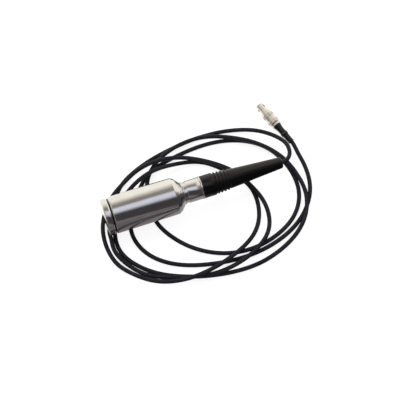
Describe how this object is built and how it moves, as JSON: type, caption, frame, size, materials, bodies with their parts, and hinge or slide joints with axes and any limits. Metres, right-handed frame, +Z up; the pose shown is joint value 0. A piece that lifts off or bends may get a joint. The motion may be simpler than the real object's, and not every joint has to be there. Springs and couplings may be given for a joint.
{
  "type": "vibration transducer",
  "caption": "Hand-held steel vibration transducer with a ribbed strain relief, a coiled thin black cable and a push-pull plug.",
  "frame": {"origin": "middle of the flat contact face", "axes": "+X runs from the contact face along the housing to the strain relief, +Z is up, and the coiled cable lies level below"},
  "size_m": [0.179, 0.1356, 0.0338],
  "materials": {
    "stainless_steel": "fine turned, polished",
    "soft_iron": "plated",
    "magnet_alloy": "ground",
    "black_rubber": "smooth moulded",
    "cable_jacket": "satin",
    "brass": "machined",
    "gold_contact": "gold plated",
    "enamelled_copper": "enamelled wire",
    "insulator_plastic": "moulded",
    "aluminium": "turned",
    "spring_bronze": "etched sheet",
    "board_laminate": "laminate",
    "lead_insulation": "extruded",
    "plug_chrome": "satin chrome"
  },
  "bodies": {
    "transducer": {"base_cap": "stainless_steel", "base_seal": "black_rubber", "housing": "stainless_steel", "neck_sleeve": "stainless_steel", "neck_ring": "stainless_steel", "strain_relief": "black_rubber", "cable_clamp": "brass", "cable_grommet": "black_rubber", "cartridge_case": "soft_iron", "magnet": "magnet_alloy", "pole_front": "soft_iron", "pole_rear": "soft_iron", "end_plate_front": "insulator_plastic", "end_plate_rear": "insulator_plastic", "cartridge_retainer": "brass", "terminal_board": "board_laminate", "terminal_a": "brass", "terminal_b": "brass", "lead_a": "lead_insulation", "lead_b": "lead_insulation", "cable": "cable_jacket", "rear_sleeve": "black_rubber", "bend_relief": "black_rubber", "collet_nut": "plug_chrome", "latch_sleeve": "brass", "plug_insulator": "insulator_plastic", "contact_pin_1": "gold_contact", "contact_pin_2": "gold_contact", "contact_pin_3": "gold_contact", "contact_pin_4": "gold_contact", "plug_lead_a": "lead_insulation", "plug_lead_b": "lead_insulation"},
    "moving_coil": {"coil_bobbin": "aluminium", "coil_front": "enamelled_copper", "coil_rear": "enamelled_copper", "spring_front": "spring_bronze", "spring_rear": "spring_bronze"},
    "release": {"release_shell": "plug_chrome"}
  },
  "joints": [
    {"name": "coil_slide", "type": "slide", "parent": "transducer", "child": "moving_coil", "axis": [1, 0, 0], "range_m": [-0.001, 0.001], "stiffness_N_per_m": 450},
    {"name": "release_slide", "type": "slide", "parent": "transducer", "child": "release", "axis": [0.3437, -0.9342, -0.0959], "range_m": [0, 0.0007], "stiffness_N_per_m": 800}
  ]
}
